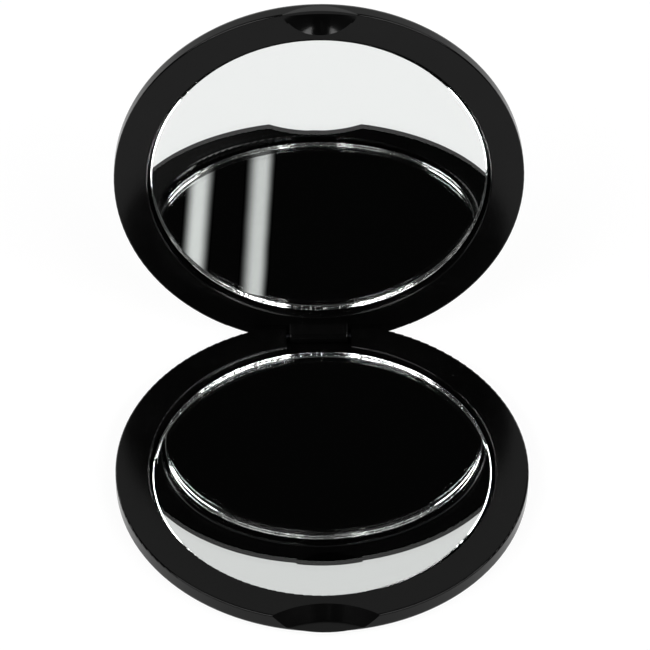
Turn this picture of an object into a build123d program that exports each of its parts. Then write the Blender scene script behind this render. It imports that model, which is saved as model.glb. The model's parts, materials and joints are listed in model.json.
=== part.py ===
from build123d import *
from math import asin, degrees, radians, tan
import os

# Round folding compact with a mirror in each half, standing open on its base.
# Z is up, the hinge is at the back (+Y), and the origin is the centre of the base's underside.

# ---- Driving dimensions, in millimetres and degrees ----
outer_d = 70.0            # both halves, across the rim
half_height = 4.5         # each half, from its back to its flat bezel
base_side_wall = 2.4      # straight part of the rim below the bezel
lid_side_wall = 2.0
shoulder_width = 6.0      # how far the rounded back edge reaches in from the rim
aperture_d = 58.6         # opening in the bezel
floor_thickness = 1.2     # moulded floor behind the mirror
rim_round = 0.3           # bezel's outer edge
aperture_round = 0.25     # bezel's inner edge
parting_gap = 0.2         # between the two bezels when shut

glass_clearance = 0.6     # round the glass, to the pocket's wall
glass_thickness = 1.2
glass_recess = 1.05       # glass face below the bezel, at the centre
glass_seam = 0.12         # ground chamfer on both edges of the glass
silver_thickness = 0.1    # silver, copper and backing paint
silver_inset = 0.2        # paint stops short of the glass edge
pad_inset = 1.7           # adhesive pad, in from the glass edge
lower_mirror_tilt = 1.1   # lower glass is bedded higher on its +X side
upper_mirror_tilt = 0.3   # upper glass leans much less

open_angle = 96.2         # between the bezels, lid standing open
hinge_inset = 2.5         # pin axis, in from the rim
hinge_drop = 1.05         # pin axis below the base's bezel
pin_d = 1.0
pin_length = 20.8
pin_press = 0.01          # radial interference of the pin in the base's ears
pin_running = 0.05        # radial clearance of the pin in the lid's knuckle
pin_pocket = 0.2          # the blind hole runs this far past the pin's end
knuckle_d = 2.4
knuckle_width = 10.3
knuckle_side_gap = 0.5    # to each side of the slot
knuckle_floor_gap = 0.35  # below the barrel
knuckle_root = 1.75       # web's root on the bezel, ahead of the pin axis
knuckle_round = 0.35      # ends of the barrel
knuckle_depth = 1.3       # the web is rooted this far into the lid
ear_wall = 0.5            # base material behind the pin
ear_round = 0.35          # top edge of the base's rear flat
relief_depth = 0.3        # shallow step in the lid's bezel that clears the ears
relief_reach = 1.5        # the step starts this far ahead of the pin axis

notch_width = 17.9        # thumb notch in the base, at the rim
notch_reach = 3.8         # in from the rim
notch_depth = 2.35
notch_draft = 36.0        # slope of the notch's inner wall
scoop_width = 12.4        # finger scoop in the lid, at the rim
scoop_reach = 4.7         # in from the rim
scoop_depth = 1.95        # at the rim
lip_wall = 0.55           # thickness of the lid's lip at its middle
lip_root = 1.6            # the lips are rooted this far inside the rim
lid_lip_reach = 0.25      # lid's lip past the rim
lid_lip_rise = 0.12       # lid's lip past the bezel
lid_lip_fade = 1.8        # height over which it runs out below
base_lip_width = 12.0
base_lip_reach = 0.5      # base's lip past the rim
base_lip_fade = 0.4       # height over which it runs out below
lip_spare = 0.5           # height that the notch then cuts off the base's lip

# ---- Sizes that follow ----
outer_r = outer_d / 2
aperture_r = aperture_d / 2
glass_r = aperture_r - glass_clearance
flat_r = outer_r - shoulder_width
pocket_depth = half_height - floor_thickness
hinge_y = outer_r - hinge_inset
hinge_z = half_height - hinge_drop
slot_half = knuckle_width / 2 + knuckle_side_gap
slot_depth = hinge_drop + knuckle_d / 2 + knuckle_floor_gap
rear_flat = hinge_y + pin_d / 2 + ear_wall
past_rim = outer_r + 2.0
overrun = 1.0             # cutters run this far past what they cut

# ---- Planes: each half is drawn from its own bezel, Z out of the bezel and Y to the hinge ----
base_face = Plane(origin=(0, 0, half_height))
shut_face = Location((0, 0, half_height + parting_gap), (0, 180, 0))
opening = Location((0, hinge_y, hinge_z), (-open_angle, 0, 0)) * Location((0, -hinge_y, -hinge_z))
lid_face = Plane(opening * shut_face)


def across(face, x=0.0):
    """The plane across a half at x: Y of the half to the right, its Z up."""
    origin = face.from_local_coords(Vector(x, 0, 0))
    return Plane(origin=origin, x_dir=face.y_dir, z_dir=face.x_dir)


def mirror_plane(face, tilt):
    """The plane of the glass's front, raised on the object's +X side by the tilt."""
    lean = tilt if face.x_dir.X < 0 else -tilt
    return Plane(face.location * Location((0, 0, -glass_recess), (0, lean, 0)))


def arc_radius(half_width, rise):
    """Radius of the arc with this rise over this half width."""
    return (half_width**2 + rise**2) / (2 * rise)


def dish(face, side_wall):
    """One half turned about its centre: flat back, rounded shoulder, rim, bezel and pocket."""
    profile = Plane(origin=face.origin, x_dir=face.x_dir, z_dir=-face.y_dir)
    with BuildSketch(profile) as outline:
        with BuildLine():
            Polyline((flat_r, -half_height), (0, -half_height), (0, -pocket_depth), (aperture_r, -pocket_depth))
            Polyline((aperture_r, -pocket_depth), (aperture_r, 0), (outer_r, 0), (outer_r, -side_wall))
            EllipticalCenterArc((flat_r, -side_wall), shoulder_width, half_height - side_wall, 270, arc_size=90)
        make_face()
        bezel_corners = outline.vertices().group_by(Axis.Y)[-1].sort_by(Axis.X)
        fillet(bezel_corners[0], aperture_round)
        fillet(outline.vertices().group_by(Axis.Y)[-1].sort_by(Axis.X)[-1], rim_round)
    revolve(outline.sketch, axis=Axis(face.origin, face.z_dir))


def cut_rectangle(face, half_width, y_from, y_to, depth):
    """Cut a rectangular pocket down from the bezel."""
    with BuildSketch(face.offset(overrun)) as pocket:
        with Locations((0, (y_from + y_to) / 2)):
            Rectangle(2 * half_width, y_to - y_from)
    extrude(pocket.sketch, amount=-(depth + overrun), mode=Mode.SUBTRACT)


def cut_rear_flat(face):
    """Cut the back of the base flat, with a rounded top edge, so that the lid can swing past."""
    with BuildSketch(across(face, -past_rim)) as waste:
        with BuildLine():
            Polyline(
                (rear_flat, -ear_round),
                (rear_flat, -half_height - overrun),
                (past_rim, -half_height - overrun),
                (past_rim, overrun),
                (rear_flat - ear_round, overrun),
                (rear_flat - ear_round, 0),
            )
            RadiusArc((rear_flat - ear_round, 0), (rear_flat, -ear_round), ear_round)
        make_face()
    extrude(waste.sketch, amount=2 * past_rim, mode=Mode.SUBTRACT)


def thumb_lip(face, half_width, reach, top, upright, fade):
    """A lip along the front of the rim: upright at its top, fading out below and to the ends."""
    end_y = (outer_r**2 - half_width**2) ** 0.5
    bulge_r = arc_radius(half_width, outer_r + reach - end_y)
    half_sweep = degrees(asin(half_width / bulge_r))
    centre = Plane(face.location * Location((0, bulge_r - outer_r - reach, 0), (0, 0, -90 - half_sweep)))
    with BuildSketch(Plane(origin=centre.origin, x_dir=centre.x_dir, z_dir=-centre.y_dir)) as rib:
        with BuildLine():
            Polyline(
                (bulge_r - reach - lip_root, top),
                (bulge_r, top),
                (bulge_r, top - upright),
                (bulge_r - reach, top - upright - fade),
                (bulge_r - reach - lip_root, top - upright - fade),
                close=True,
            )
        make_face()
    revolve(rib.sketch, axis=Axis(centre.origin, face.z_dir), revolution_arc=2 * half_sweep)


def bore(face, y, z, radius, x_from, x_to):
    """Drill along X of the half."""
    with BuildSketch(across(face, x_from)) as hole:
        with Locations((y, z)):
            Circle(radius)
    extrude(hole.sketch, amount=x_to - x_from, mode=Mode.SUBTRACT)


# ---- Base: slot and ears for the hinge at the back, thumb notch at the front ----
notch_r = arc_radius(notch_width / 2, notch_reach - outer_r + (outer_r**2 - notch_width**2 / 4) ** 0.5)
with BuildPart() as base_shell:
    dish(base_face, base_side_wall)
    thumb_lip(base_face, base_lip_width / 2, base_lip_reach, lip_spare - notch_depth, lip_spare, base_lip_fade)
    cut_rear_flat(base_face)
    cut_rectangle(base_face, slot_half, aperture_r - overrun, past_rim, slot_depth)
    with BuildSketch(base_face.offset(overrun)) as notch:
        with Locations((0, notch_reach - outer_r - notch_r)):
            Circle(notch_r + overrun * tan(radians(notch_draft)))
    extrude(notch.sketch, amount=-notch_depth - overrun, taper=notch_draft, mode=Mode.SUBTRACT)
    bore(base_face, hinge_y, -hinge_drop, pin_d / 2 - pin_press, -pin_length / 2 - pin_pocket, outer_r)

# ---- Lid: knuckle at the back, relief over the ears, scoop and lip at the front ----
knuckle_drop = hinge_drop + parting_gap
scoop_chord = arc_radius(scoop_width / 2, scoop_reach - outer_r + (outer_r**2 - scoop_width**2 / 4) ** 0.5)
scoop_y = scoop_reach - outer_r - scoop_chord
scoop_rim = -outer_r - scoop_y
scoop_fall = (scoop_chord**2 - scoop_rim**2 - scoop_depth**2) / (2 * scoop_depth)
scoop_r = (scoop_chord**2 + scoop_fall**2) ** 0.5
with BuildPart() as scoop:
    with Locations(lid_face.location * Location((0, scoop_y, scoop_fall))):
        Sphere(scoop_r)
    with BuildSketch(lid_face.offset(-half_height)) as inside_lip:
        Circle(outer_r + lid_lip_reach - lip_wall)
    extrude(inside_lip.sketch, amount=2 * half_height, mode=Mode.INTERSECT)

with BuildPart() as knuckle:
    with BuildSketch(across(lid_face, -knuckle_width / 2)) as web:
        with BuildLine():
            CenterArc((hinge_y, knuckle_drop), knuckle_d / 2, 0, 360)
            Polyline(
                (hinge_y - knuckle_root, 0),
                (hinge_y - knuckle_root, -knuckle_depth),
                (hinge_y + knuckle_d / 2, -knuckle_depth),
            )
        make_hull()
    extrude(amount=knuckle_width)
    fillet(knuckle.faces().filter_by(Axis.X).edges(), knuckle_round)

with BuildPart() as lid_shell:
    dish(lid_face, lid_side_wall)
    thumb_lip(lid_face, scoop_width / 2, lid_lip_reach, lid_lip_rise, lid_lip_rise, lid_lip_fade)
    cut_rectangle(lid_face, outer_r, hinge_y - relief_reach, past_rim, relief_depth)
    add(knuckle.part)
    add(scoop.part, mode=Mode.SUBTRACT)
    bore(lid_face, hinge_y, knuckle_drop, pin_d / 2 + pin_running, -knuckle_width, knuckle_width)

# ---- Hinge pin: plain steel wire, driven through the ears and the knuckle ----
with BuildPart() as hinge_pin:
    with BuildSketch(across(base_face, -pin_length / 2)) as wire:
        with Locations((hinge_y, -hinge_drop)):
            Circle(pin_d / 2)
    extrude(wire.sketch, amount=pin_length)


def glass(face, tilt):
    """Float glass disc with a narrow ground chamfer round both edges."""
    with BuildPart() as disc:
        with BuildSketch(mirror_plane(face, tilt)):
            Circle(glass_r)
        extrude(amount=-glass_thickness)
        chamfer(disc.edges().filter_by(GeomType.CIRCLE), glass_seam)
    return disc


def silvering(face, tilt):
    """Reflecting layer and its backing paint, on the back of the glass."""
    with BuildPart() as layer:
        with BuildSketch(mirror_plane(face, tilt).offset(-glass_thickness)):
            Circle(glass_r - silver_inset)
        extrude(amount=-silver_thickness)
    return layer


def adhesive_pad(face, tilt):
    """Double-sided foam pad that fills the space from the pocket floor to the paint."""
    with BuildPart() as pad:
        with BuildSketch(face.offset(-pocket_depth)):
            Circle(glass_r - pad_inset)
        extrude(amount=pocket_depth)
        paint = mirror_plane(face, tilt).offset(-glass_thickness - silver_thickness)
        split(bisect_by=paint, keep=Keep.BOTTOM)
    return pad


pieces = {
    "base_shell": base_shell,
    "lid_shell": lid_shell,
    "hinge_pin": hinge_pin,
    "lower_mirror_glass": glass(base_face, lower_mirror_tilt),
    "lower_mirror_silvering": silvering(base_face, lower_mirror_tilt),
    "lower_adhesive_pad": adhesive_pad(base_face, lower_mirror_tilt),
    "upper_mirror_glass": glass(lid_face, upper_mirror_tilt),
    "upper_mirror_silvering": silvering(lid_face, upper_mirror_tilt),
    "upper_adhesive_pad": adhesive_pad(lid_face, upper_mirror_tilt),
}
os.makedirs("parts", exist_ok=True)
for name, piece in pieces.items():
    piece.part.label = name
    export_step(piece.part, f"parts/{name}.step")
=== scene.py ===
import json
from math import cos, pi, radians, sin

import bpy
from mathutils import Matrix, Vector


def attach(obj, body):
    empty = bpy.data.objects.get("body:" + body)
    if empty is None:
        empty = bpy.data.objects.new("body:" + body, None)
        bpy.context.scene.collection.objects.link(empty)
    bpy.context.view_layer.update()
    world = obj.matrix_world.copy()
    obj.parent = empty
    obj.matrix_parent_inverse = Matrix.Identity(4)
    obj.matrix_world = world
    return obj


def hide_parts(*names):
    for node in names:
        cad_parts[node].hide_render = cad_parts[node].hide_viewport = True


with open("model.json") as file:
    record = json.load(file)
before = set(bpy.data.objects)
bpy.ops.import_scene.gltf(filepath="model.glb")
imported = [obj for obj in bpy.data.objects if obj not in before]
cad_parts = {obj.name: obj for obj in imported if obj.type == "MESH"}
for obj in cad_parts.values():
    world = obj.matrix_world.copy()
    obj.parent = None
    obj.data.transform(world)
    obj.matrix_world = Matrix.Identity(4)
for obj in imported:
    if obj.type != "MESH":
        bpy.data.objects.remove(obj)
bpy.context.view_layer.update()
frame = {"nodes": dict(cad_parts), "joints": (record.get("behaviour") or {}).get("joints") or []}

# ---- Camera ----
# A long lens looks down at the open compact from just left of its middle, so that both rims show as
# nearly the same ellipse.
camera = bpy.data.objects.new("camera", bpy.data.cameras.new("camera"))
camera.data.lens = 250.66
camera.data.sensor_width = 36.0
camera.data.clip_start = 0.01
camera.data.clip_end = 20.0
camera_place = Matrix.Translation((-0.01326, -0.53044, 0.55820))
across = Vector((0.9998, -0.01918, 0.00644))
upward = Vector((0.00883, 0.70003, 0.71406))
backward = across.cross(upward).normalized()
upward = backward.cross(across).normalized()
camera.matrix_world = camera_place @ Matrix((across, upward, backward)).transposed().to_4x4()
bpy.context.scene.collection.objects.link(camera)
bpy.context.scene.camera = camera


# ---- Studio: white table, pale sweep, dark card behind the camera ----
# Stage only. Two wide soft lights stand either side of the camera and glint in the ground glass edges.
# The dark card between them is what both mirrors show in their middles, with two narrow lit gaps in it.
def linear(code):
    """Linear red, green, blue and alpha from an sRGB hex colour."""
    parts = [int(code[i:i + 2], 16) / 255 for i in (1, 3, 5)]
    return (*(p / 12.92 if p <= 0.04045 else ((p + 0.055) / 1.055) ** 2.4 for p in parts), 1.0)


def add(tree, kind, inputs, **settings):
    """Add a node with its settings; each input gets a value, or a link if it is given a socket."""
    node = tree.nodes.new(kind)
    for name, value in settings.items():
        setattr(node, name, value)
    for name, value in inputs.items():
        if isinstance(value, bpy.types.NodeSocket):
            tree.links.new(value, node.inputs[name])
        else:
            node.inputs[name].default_value = value
    return node


def new_material(name):
    """An empty node material."""
    made = bpy.data.materials.new(name)
    made.use_nodes = True
    made.node_tree.nodes.clear()
    return made


def board(name, width, height, place, material):
    """A flat stage board, its middle at the given place and its front along the place's +Z."""
    mesh = bpy.data.meshes.new(name)
    x, y = width / 2, height / 2
    corners = [Vector(corner) for corner in ((-x, -y, 0), (x, -y, 0), (x, y, 0), (-x, y, 0))]
    mesh.from_pydata([place @ corner for corner in corners], [], [(0, 1, 2, 3)])
    mesh.materials.append(material)
    made = bpy.data.objects.new(name, mesh)
    bpy.context.scene.collection.objects.link(made)


def toward(azimuth, elevation, distance):
    """A place that far from the compact, facing it. Azimuth 0 is the camera's side, 90 the compact's right."""
    a, e = radians(azimuth), radians(elevation)
    out = Vector((sin(a) * cos(e), -cos(a) * cos(e), sin(e)))
    middle = Vector((0, 0.015, 0.02))
    turn = out.to_track_quat("Z", "Y").to_matrix().to_4x4() @ Matrix.Rotation(pi, 4, "Y")
    return Matrix.Translation(out * distance + middle) @ turn


def glow_paper(name, code, matte, glow):
    """Paper that is both lit and glows a little, so that it stays even."""
    made = new_material(name)
    tree = made.node_tree
    shade = [matte * part for part in linear(code)[:3]] + [1.0]
    lit = add(tree, "ShaderNodeBsdfDiffuse", {"Color": shade})
    own = add(tree, "ShaderNodeEmission", {"Color": linear(code), "Strength": glow})
    both = add(tree, "ShaderNodeAddShader", {0: lit.outputs[0], 1: own.outputs[0]})
    add(tree, "ShaderNodeOutputMaterial", {"Surface": both.outputs[0]})
    return made


board("table", 6.0, 6.0, Matrix.Identity(4), glow_paper("white table", "#FFFFFF", 0.12, 0.90))
sweep_place = Matrix.Translation((0, 2.2, 1.45)) @ Matrix.Rotation(radians(90), 4, "X")
board("sweep", 6.0, 3.0, sweep_place, glow_paper("pale sweep", "#FDFEFD", 0.12, 0.75))

card_paint = new_material("black card")
paint_tree = card_paint.node_tree
matt = add(paint_tree, "ShaderNodeBsdfDiffuse", {"Color": linear("#060606")})
add(paint_tree, "ShaderNodeOutputMaterial", {"Surface": matt.outputs[0]})
board("card", 0.86, 2.0, toward(-1.5, 46, 1.55), card_paint)

# The UV map carries how lit a point is in its first value and the gap's own strength in its second.
gap_light = new_material("lit gap")
gap_tree = gap_light.node_tree
gap_uv = add(gap_tree, "ShaderNodeUVMap", {}, uv_map="across")
parts = add(gap_tree, "ShaderNodeSeparateXYZ", {"Vector": gap_uv.outputs[0]})
fade = add(
    gap_tree, "ShaderNodeMapRange", {"Value": parts.outputs[0], 1: 0.0, 2: 1.0, 3: 0.0, 4: 1.0},
    interpolation_type="SMOOTHERSTEP",
)
power = add(gap_tree, "ShaderNodeMath", {0: fade.outputs[0], 1: parts.outputs[1]}, operation="MULTIPLY")
beam = add(gap_tree, "ShaderNodeEmission", {"Color": linear("#F7F8F7"), "Strength": power.outputs[0]})
add(gap_tree, "ShaderNodeOutputMaterial", {"Surface": beam.outputs[0]})
gap_y, gap_z, gap_half_height = -1.22, 0.79, 0.3
for label, middle, lean, glow, left, right in (
    ("gap_left", -0.0830, -6.8, 1.0, -0.0076, 0.0078),
    ("gap_right", -0.0507, -5.5, 0.88, -0.0088, 0.0066),
):
    mesh = bpy.data.meshes.new(label)
    place = Matrix.Translation((middle, gap_y, gap_z)) @ Matrix.Rotation(radians(lean), 4, "Y")
    edges = [(left, 0.0), (-0.0003, 1.0), (0.0003, 1.0), (right, 0.0)]
    ends = (-gap_half_height, gap_half_height)
    points = [place @ Vector((x, 0, z)) for z in ends for x, _ in edges]
    mesh.from_pydata(points, [], [(i, i + 1, i + 5, i + 4) for i in range(3)])
    layer = mesh.uv_layers.new(name="across")
    for loop in mesh.loops:
        layer.data[loop.index].uv = (edges[loop.vertex_index % 4][1], glow)
    mesh.materials.append(gap_light)
    strip = bpy.data.objects.new(label, mesh)
    bpy.context.scene.collection.objects.link(strip)

light_strength = 9.0
for label, side in (("soft_left", -1), ("soft_right", 1)):
    lamp = bpy.data.lights.new(label, "AREA")
    lamp.shape = "RECTANGLE"
    lamp.size = 1.6
    lamp.size_y = 0.45
    lamp.energy = light_strength * pi * lamp.size * lamp.size_y
    fitting = bpy.data.objects.new(label, lamp)
    fitting.matrix_world = toward(side * 47, 41, 1.5) @ Matrix.Rotation(pi, 4, "Y")
    bpy.context.scene.collection.objects.link(fitting)

room = bpy.data.worlds.new("room")
room.use_nodes = True
room.node_tree.nodes.clear()
air = add(room.node_tree, "ShaderNodeBackground", {"Color": linear("#FFFFFF"), "Strength": 0.08})
add(room.node_tree, "ShaderNodeOutputWorld", {"Surface": air.outputs[0]})
bpy.context.scene.world = room
bpy.context.scene.view_settings.view_transform = "Standard"


# ---- Shells: base and lid ----
# Two injection-moulded halves in black ABS. Each is one moulding with its floor, bezel, thumb notch or
# finger scoop and its part of the hinge.
def black_abs():
    """ABS from a finely textured mould: a deep, even black with a satin shine, faint finger marks and dust."""
    marks_size = 0.009
    grain_size = 0.0004     # the real grain is a tenth of this and is drawn coarser so that it shows
    dust_spacing = 0.0042
    made = new_material("black ABS, satin moulded")
    tree = made.node_tree
    where = add(tree, "ShaderNodeTexCoord", {}).outputs["Object"]
    marks = add(tree, "ShaderNodeTexNoise", {
        "Vector": where, "Scale": 1 / marks_size, "Detail": 4.0, "Roughness": 0.55,
    })
    grain = add(tree, "ShaderNodeTexNoise", {"Vector": where, "Scale": 1 / grain_size, "Detail": 2.0})
    tone = add(tree, "ShaderNodeMapRange", {"Value": marks.outputs["Fac"], 1: 0.3, 2: 0.7, 3: 0.0, 4: 1.0})
    body = add(tree, "ShaderNodeMix", {
        0: tone.outputs[0], 6: linear("#030303"), 7: linear("#060606"),
    }, data_type="RGBA")
    cells = add(tree, "ShaderNodeTexVoronoi", {"Vector": where, "Scale": 1 / dust_spacing})
    chosen = add(tree, "ShaderNodeSeparateColor", {"Color": cells.outputs["Color"]})
    few = add(tree, "ShaderNodeMath", {0: chosen.outputs[0], 1: 0.12}, operation="LESS_THAN")
    near = add(tree, "ShaderNodeMapRange", {
        "Value": cells.outputs["Distance"], 1: 0.012, 2: 0.026, 3: 0.8, 4: 0.0,
    })
    speck = add(tree, "ShaderNodeMath", {0: few.outputs[0], 1: near.outputs[0]}, operation="MULTIPLY")
    dusty = add(tree, "ShaderNodeMix", {
        0: speck.outputs[0], 6: body.outputs[2], 7: linear("#5A5A57"),
    }, data_type="RGBA")
    satin = add(tree, "ShaderNodeMapRange", {
        "Value": marks.outputs["Fac"], 1: 0.3, 2: 0.7, 3: 0.12, 4: 0.16,
    })
    relief = add(tree, "ShaderNodeBump", {
        "Height": grain.outputs["Fac"], "Strength": 0.25, "Distance": 0.000012,
    })
    shader = add(tree, "ShaderNodeBsdfPrincipled", {
        "Base Color": dusty.outputs[2], "Roughness": satin.outputs[0], "IOR": 1.25, "Normal": relief.outputs[0],
    })
    add(tree, "ShaderNodeOutputMaterial", {"Surface": shader.outputs[0]})
    return made


def dress(node, material):
    """Give a CAD node its better material."""
    frame["nodes"][node].data.materials.clear()
    frame["nodes"][node].data.materials.append(material)


abs_black = black_abs()
dress("base_shell", abs_black)
dress("lid_shell", abs_black)


# ---- Hinge pin ----
# A length of drawn steel wire, coloured nearly black so that it shows dark in the side gaps beside the lid's
# knuckle. It is driven through the base's ears, which grip it, and the lid's knuckle turns on it.
def nearly_black_wire():
    """Drawn steel coloured nearly black, with a metal's shine broken into fine lines along the wire."""
    line_length = 1 / 60
    line_width = 1 / 9000   # real drawing lines are a tenth of this and are drawn coarser so that they show
    made = new_material("nearly black steel wire")
    tree = made.node_tree
    where = add(tree, "ShaderNodeTexCoord", {}).outputs["Object"]
    drawn = add(tree, "ShaderNodeMapping", {
        "Vector": where, "Scale": (1 / line_length, 1 / line_width, 1 / line_width),
    })
    lines = add(tree, "ShaderNodeTexNoise", {"Vector": drawn.outputs[0], "Scale": 1.0, "Detail": 3.0})
    shine = add(tree, "ShaderNodeMapRange", {
        "Value": lines.outputs["Fac"], 1: 0.3, 2: 0.7, 3: 0.22, 4: 0.4,
    })
    # The nearly black base colour keeps the pin dark where it shows in the side gaps beside the knuckle.
    shader = add(tree, "ShaderNodeBsdfPrincipled", {
        "Base Color": linear("#3A3B40"), "Metallic": 1.0, "Roughness": shine.outputs[0],
    })
    add(tree, "ShaderNodeOutputMaterial", {"Surface": shader.outputs[0]})
    return made


dress("hinge_pin", nearly_black_wire())


# ---- Adhesive pads ----
# Die-cut double-sided foam that holds each glass to the floor of its pocket. It is pressed down unevenly,
# so that one side of a glass may sit higher.
def pad_foam():
    """Closed-cell foam: off-white, dull and finely pitted."""
    cell_size = 0.0004      # real cells are half this and are drawn coarser so that they show
    made = new_material("closed-cell adhesive foam")
    tree = made.node_tree
    where = add(tree, "ShaderNodeTexCoord", {}).outputs["Object"]
    cells = add(tree, "ShaderNodeTexVoronoi", {"Vector": where, "Scale": 1 / cell_size})
    pitted = add(tree, "ShaderNodeBump", {
        "Height": cells.outputs["Distance"], "Strength": 0.6, "Distance": 0.0001,
    })
    shader = add(tree, "ShaderNodeBsdfPrincipled", {
        "Base Color": linear("#DAD9D3"), "Roughness": 0.9, "Normal": pitted.outputs[0],
    })
    add(tree, "ShaderNodeOutputMaterial", {"Surface": shader.outputs[0]})
    return made


foam = pad_foam()
dress("lower_adhesive_pad", foam)
dress("upper_adhesive_pad", foam)

# ---- Mirrors ----
# Round float glass, scored, snapped and lightly ground round its edge, silvered and painted on the back,
# and held in each half by its pad. The reflection lies behind the front face, which adds a faint second one.
half_height = 0.0045
parting_gap = 0.0002
glass_recess = 0.00105
lower_tilt = 1.1
upper_tilt = 0.3
hinge = frame["joints"][0]
pivot = Matrix.Translation(hinge["pos_m"])
opening = pivot @ Matrix.Rotation(-radians(hinge["range_deg"][1]), 4, "X") @ pivot.inverted()
shut_lid_bezel = Matrix.Translation((0, 0, half_height + parting_gap)) @ Matrix.Rotation(pi, 4, "Y")
sunk = Matrix.Translation((0, 0, -glass_recess))
lower_place = Matrix.Translation((0, 0, half_height)) @ sunk @ Matrix.Rotation(-radians(lower_tilt), 4, "Y")
upper_place = opening @ shut_lid_bezel @ sunk @ Matrix.Rotation(radians(upper_tilt), 4, "Y")

# Float glass: clear and flat, with a hard shine on its front.
clear_glass = new_material("clear float glass")
clear_tree = clear_glass.node_tree
clear = add(clear_tree, "ShaderNodeBsdfPrincipled", {
    "Base Color": linear("#FDFEFD"), "Roughness": 0.0, "IOR": 1.52, "Transmission Weight": 1.0,
})
add(clear_tree, "ShaderNodeOutputMaterial", {"Surface": clear.outputs[0]})

# The same glass where the wheel has ground it: it sparkles and blurs what is behind it. The real grit is
# about a fifth of this size and is drawn coarser so that it shows.
grit_size = 0.0003
ground_glass = new_material("ground glass edge")
ground_tree = ground_glass.node_tree
grit_where = add(ground_tree, "ShaderNodeTexCoord", {}).outputs["Object"]
grit = add(ground_tree, "ShaderNodeTexNoise", {"Vector": grit_where, "Scale": 1 / grit_size, "Detail": 3.0})
grit_bump = add(ground_tree, "ShaderNodeBump", {
    "Height": grit.outputs["Fac"], "Strength": 0.25, "Distance": 0.00003,
})
ground = add(ground_tree, "ShaderNodeBsdfPrincipled", {
    "Base Color": linear("#FBFDFC"), "Roughness": 0.08, "IOR": 1.52, "Transmission Weight": 1.0,
    "Normal": grit_bump.outputs[0],
})
add(ground_tree, "ShaderNodeOutputMaterial", {"Surface": ground.outputs[0]})

# Silver laid on float glass: a bright, sharp mirror, bent very slightly by the glass's own waviness.
ripple_size = 0.012
silver = new_material("silvering")
silver_tree = silver.node_tree
silver_where = add(silver_tree, "ShaderNodeTexCoord", {}).outputs["Object"]
ripple = add(silver_tree, "ShaderNodeTexNoise", {
    "Vector": silver_where, "Scale": 1 / ripple_size, "Detail": 1.0,
})
ripple_bump = add(silver_tree, "ShaderNodeBump", {
    "Height": ripple.outputs["Fac"], "Strength": 1.0, "Distance": 0.0000004,
})
bright = add(silver_tree, "ShaderNodeBsdfPrincipled", {
    "Base Color": linear("#EBECEC"), "Metallic": 1.0, "Roughness": 0.0, "Normal": ripple_bump.outputs[0],
})
add(silver_tree, "ShaderNodeOutputMaterial", {"Surface": bright.outputs[0]})


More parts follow.
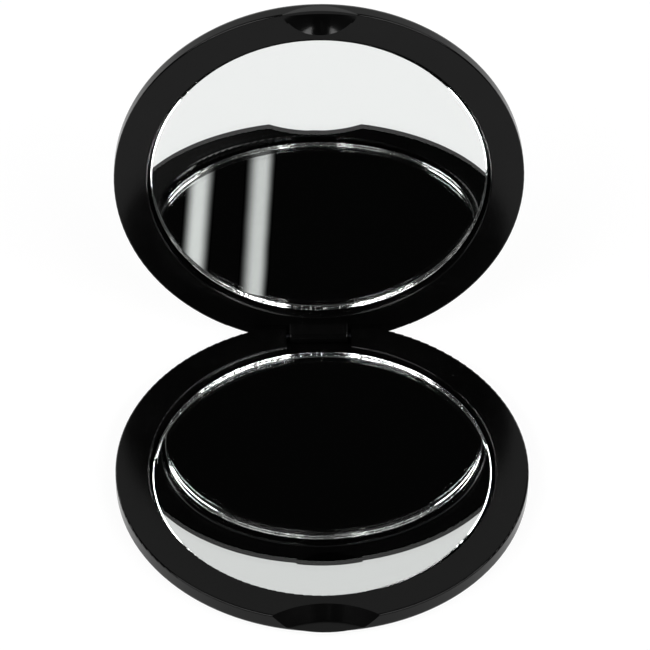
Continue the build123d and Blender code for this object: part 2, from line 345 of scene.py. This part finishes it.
def disc_tree():
    """A disc below its origin, ground round the rim: narrow seams, slow waves, nicks and small sharp chips."""
    steps_round = 1440
    finest_along = 1390.0       # the noise's cells per metre along the edge
    finest_down = 25000.0       # and down it, so that each row of the edge differs from the next
    front_bite = 0.25           # nicks and chips cut the front of the edge only this much as deep
    tree = bpy.data.node_groups.new("ground disc", "GeometryNodeTree")
    for label, kind in (
        ("Radius", "Float"), ("Thickness", "Float"), ("Rows", "Int"), ("Front seam", "Float"),
        ("Back seam", "Float"), ("Waves", "Float"), ("Nicks", "Float"), ("Chips", "Float"), ("Seed", "Float"),
        ("Face", "Material"), ("Edge", "Material"),
    ):
        tree.interface.new_socket(label, in_out="INPUT", socket_type=f"NodeSocket{kind}")
    tree.interface.new_socket("Disc", in_out="OUTPUT", socket_type="NodeSocketGeometry")
    given = tree.nodes.new("NodeGroupInput").outputs

    def calc(operation, first, second, third=0.0):
        """The result of one sum."""
        return add(tree, "ShaderNodeMath", {0: first, 1: second, 2: third}, operation=operation).outputs[0]

    disc = add(tree, "GeometryNodeMeshCylinder", {
        "Vertices": steps_round, "Side Segments": given["Rows"], "Radius": given["Radius"],
        "Depth": given["Thickness"],
    }, fill_type="NGON")
    here = add(tree, "GeometryNodeInputPosition", {}).outputs[0]
    along = add(tree, "ShaderNodeVectorMath", {
        0: here, 1: (finest_along, finest_along, finest_down),
    }, operation="MULTIPLY").outputs[0]

    def rough(scale, floor):
        """How far a noise of this fineness rises above its floor."""
        field = add(tree, "ShaderNodeTexNoise", {
            "Vector": along, "W": given["Seed"], "Scale": scale, "Detail": 0.0,
        }, noise_dimensions="4D").outputs[0]
        return calc("MAXIMUM", calc("MULTIPLY_ADD", field, 2.0, -1.0 - floor), 0.0)

    height = add(tree, "ShaderNodeSeparateXYZ", {"Vector": here}).outputs["Z"]
    up = calc("DIVIDE", height, given["Thickness"])
    front = calc("GREATER_THAN", up, 0.499)
    back = calc("LESS_THAN", up, -0.499)
    deeper = calc("LESS_THAN", up, 0.35)
    bite = calc("MULTIPLY_ADD", deeper, 1.0 - front_bite, front_bite)
    chipped = calc("MULTIPLY", rough(3.0, 0.4), given["Chips"])
    broken = calc("MULTIPLY_ADD", rough(0.9, 0.2), given["Nicks"], chipped)
    inset = calc("MULTIPLY_ADD", rough(0.25, -1.0), given["Waves"], calc("MULTIPLY", broken, bite))
    inset = calc("MULTIPLY_ADD", front, given["Front seam"], inset)
    inset = calc("MULTIPLY_ADD", back, given["Back seam"], inset)
    shrink = calc("SUBTRACT", 1.0, calc("DIVIDE", inset, given["Radius"]))
    drop = calc("MULTIPLY", given["Thickness"], -0.5)
    scale = add(tree, "ShaderNodeCombineXYZ", {"X": shrink, "Y": shrink, "Z": 1.0}).outputs[0]
    shift = add(tree, "ShaderNodeCombineXYZ", {"Z": drop}).outputs[0]
    moved = add(tree, "ShaderNodeVectorMath", {
        0: here, 1: scale, 2: shift,
    }, operation="MULTIPLY_ADD").outputs[0]
    shaped = add(tree, "GeometryNodeSetPosition", {"Geometry": disc.outputs["Mesh"], "Position": moved})
    whole = add(tree, "GeometryNodeRealizeInstances", {"Geometry": shaped.outputs[0]})
    faced = add(tree, "GeometryNodeSetMaterial", {"Geometry": whole.outputs[0], "Material": given["Face"]})
    edged = add(tree, "GeometryNodeSetMaterial", {
        "Geometry": faced.outputs[0], "Selection": disc.outputs["Side"], "Material": given["Edge"],
    })
    add(tree, "NodeGroupOutput", {"Disc": edged.outputs[0]})
    return tree


ground_disc = disc_tree()


def cut_disc(name, place, body, **sizes):
    """A plain mesh piece from the disc tree, at its place and riding on its body."""
    blank = bpy.data.objects.new(name, bpy.data.meshes.new(name))
    bpy.context.scene.collection.objects.link(blank)
    modifier = blank.modifiers.new("disc", "NODES")
    modifier.node_group = ground_disc
    for socket in ground_disc.interface.items_tree:
        if socket.in_out == "INPUT":
            modifier[socket.identifier] = sizes[socket.name.replace(" ", "_").lower()]
    bpy.context.view_layer.update()
    mesh = bpy.data.meshes.new_from_object(blank.evaluated_get(bpy.context.evaluated_depsgraph_get()))
    blank.modifiers.remove(modifier)
    mesh.transform(place)
    blank.data = mesh
    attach(blank, body)
    return blank


# The coating starts a hair inside the glass, so that no air is left between them, and stops short of its edge.
glass_radius = 0.0287
glass_thickness = 0.0012
coating_thickness = 0.0001
coating_inset = 0.0001
coating_lift = 0.00002
behind_glass = Matrix.Translation((0, 0, coating_lift - glass_thickness))
for level, body, place, seed in (("lower", "base", lower_place, 7.0), ("upper", "lid", upper_place, 19.0)):
    plate = cut_disc(
        f"{level}_mirror_plate", place, body, radius=glass_radius, thickness=glass_thickness, rows=10,
        front_seam=0.00014, back_seam=0.00006, waves=0.00002, nicks=0.0002, chips=0.0003, seed=seed,
        face=clear_glass, edge=ground_glass,
    )
    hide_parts(f"{level}_mirror_glass")
    coating = cut_disc(
        f"{level}_mirror_silver", place @ behind_glass, body, radius=glass_radius - coating_inset,
        thickness=coating_thickness + coating_lift, rows=1, front_seam=0.0, back_seam=0.0,
        waves=0.00002, nicks=0.0, chips=0.0, seed=seed, face=silver, edge=silver,
    )
    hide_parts(f"{level}_mirror_silvering")
